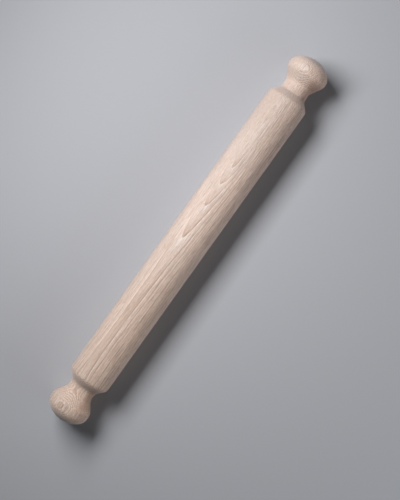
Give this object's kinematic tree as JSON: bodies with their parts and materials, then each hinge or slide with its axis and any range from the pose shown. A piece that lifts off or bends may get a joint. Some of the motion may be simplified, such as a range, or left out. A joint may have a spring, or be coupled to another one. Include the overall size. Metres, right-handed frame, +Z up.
{
  "type": "rolling pin",
  "caption": "Solid turned wooden rolling pin: a long plain barrel with sloped shoulders and a waisted, dome-ended knob handle at each end.",
  "frame": {"origin": "middle of the pin's length, on its turning axis", "axes": "+X along the turning axis towards the right handle, +Z up when the pin lies on a table, -Z out through the side it rests on"},
  "size_m": [0.451, 0.045, 0.045],
  "materials": {
    "beech": "bare, fine sanded beech with no oil or varnish"
  },
  "bodies": {
    "root": {"barrel": "beech", "left_handle": "beech", "right_handle": "beech"}
  },
  "joints": []
}
